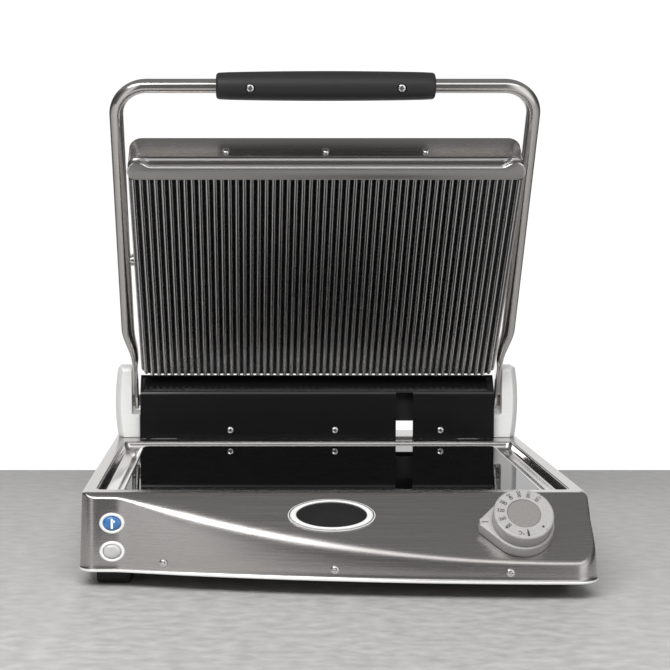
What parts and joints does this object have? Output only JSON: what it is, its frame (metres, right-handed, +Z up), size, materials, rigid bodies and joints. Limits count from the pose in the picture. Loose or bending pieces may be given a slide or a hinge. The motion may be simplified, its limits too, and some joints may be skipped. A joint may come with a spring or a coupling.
{
  "type": "panini press",
  "caption": "Contact grill with a sunk glass base plate, a ribbed lid on a sprung U-shaped handle, a thermostat dial and two push buttons, standing open.",
  "frame": {"origin": "on the table under the middle of the object's box, lid open", "axes": "+Z up, +X to the object's right as its user sees it, +Y to its back"},
  "size_m": [0.438, 0.4666, 0.4558],
  "materials": {
    "brushed_steel": "brushed and deep drawn stainless steel",
    "bright_steel": "polished stainless steel",
    "dark_panel": "near-black, glossy",
    "satin_silver": "fine satin silver",
    "button_silver": "pearl silver, domed",
    "black_plastic": "gloss",
    "black_cover": "matt black",
    "charcoal_grip": "fine matte",
    "foot_rubber": "matte",
    "black_glass": "opaque black glass-ceramic, mirror smooth",
    "ribbed_glass": "opaque black glass-ceramic, satin ribs",
    "silicone": "matte",
    "insulation_board": "fibrous board",
    "heater_tube": "oxidised",
    "switch_plastic": "moulded",
    "blue_lens": "translucent blue lens, lit",
    "bronze": "plain bearing bronze",
    "spring_steel": "drawn wire"
  },
  "bodies": {
    "base": {"base_housing": "brushed_steel", "bottom_plate": "brushed_steel", "foot_front_left": "foot_rubber", "foot_front_right": "foot_rubber", "foot_rear_left": "foot_rubber", "foot_rear_right": "foot_rubber", "lower_glass": "black_glass", "glass_seal": "silicone", "glass_frame": "brushed_steel", "lower_heater_tray": "insulation_board", "lower_heater": "heater_tube", "tray_support": "brushed_steel", "cable_gland": "black_plastic", "terminal_block": "switch_plastic", "knob_base": "satin_silver", "thermostat": "switch_plastic", "button_upper_switch": "bright_steel", "button_lower_switch": "bright_steel", "badge_ring": "bright_steel", "badge_face": "black_plastic", "rear_panel": "dark_panel", "panel_rail": "brushed_steel", "hinge_tower_left": "satin_silver", "hinge_tower_right": "satin_silver", "shaft_bush_left": "bronze", "shaft_bush_right": "bronze", "spring_cover": "black_cover", "torsion_spring_left": "spring_steel", "torsion_spring_right": "spring_steel", "front_screw_left": "bright_steel", "front_screw_middle": "bright_steel", "front_screw_right": "bright_steel", "panel_screw_left": "bright_steel", "panel_screw_middle": "bright_steel", "panel_screw_right": "bright_steel"},
    "handle": {"handle_tube": "brushed_steel", "arm_blade_left": "brushed_steel", "arm_blade_right": "brushed_steel", "pivot_bolt_left": "bright_steel", "pivot_bolt_right": "bright_steel", "hinge_shaft": "brushed_steel", "grip": "charcoal_grip", "grip_screw_left": "bright_steel", "grip_screw_right": "bright_steel"},
    "lid": {"lid_cover": "brushed_steel", "lid_bezel": "bright_steel", "upper_plate": "ribbed_glass", "upper_heater": "heater_tube", "upper_insulation": "insulation_board", "pivot_bracket_left": "brushed_steel", "pivot_bracket_right": "brushed_steel", "cover_screw_left": "bright_steel", "cover_screw_middle": "bright_steel", "cover_screw_right": "bright_steel"},
    "dial": {"knob": "satin_silver", "knob_disc": "satin_silver", "knob_spindle": "brushed_steel"},
    "upper_button": {"button_upper": "blue_lens"},
    "lower_button": {"button_lower": "button_silver"}
  },
  "joints": [
    {"name": "arm_hinge", "type": "hinge", "parent": "base", "child": "handle", "pos_m": [0, 0.18885, 0.1204], "axis": [1, 0, 0], "range_deg": [0, 59.4]},
    {"name": "lid_pivot", "type": "hinge", "parent": "handle", "child": "lid", "pos_m": [0, 0.0989, 0.27434], "axis": [1, 0, 0], "range_deg": [-9.5, 0]},
    {"name": "dial_turn", "type": "hinge", "parent": "base", "child": "dial", "pos_m": [0.1545, -0.19875, 0.0553], "axis": [0, -0.7071, 0.7071], "range_deg": [-50, 225]},
    {"name": "upper_button_press", "type": "slide", "parent": "base", "child": "upper_button", "axis": [0, 1, 0], "range_m": [0, 0.0025], "stiffness_N_per_m": 500},
    {"name": "lower_button_press", "type": "slide", "parent": "base", "child": "lower_button", "axis": [0, 1, 0], "range_m": [0, 0.0025], "stiffness_N_per_m": 500}
  ],
  "couplings": [
    {"joint": "lid_pivot", "follows": "arm_hinge", "ratio": -0.15825}
  ]
}
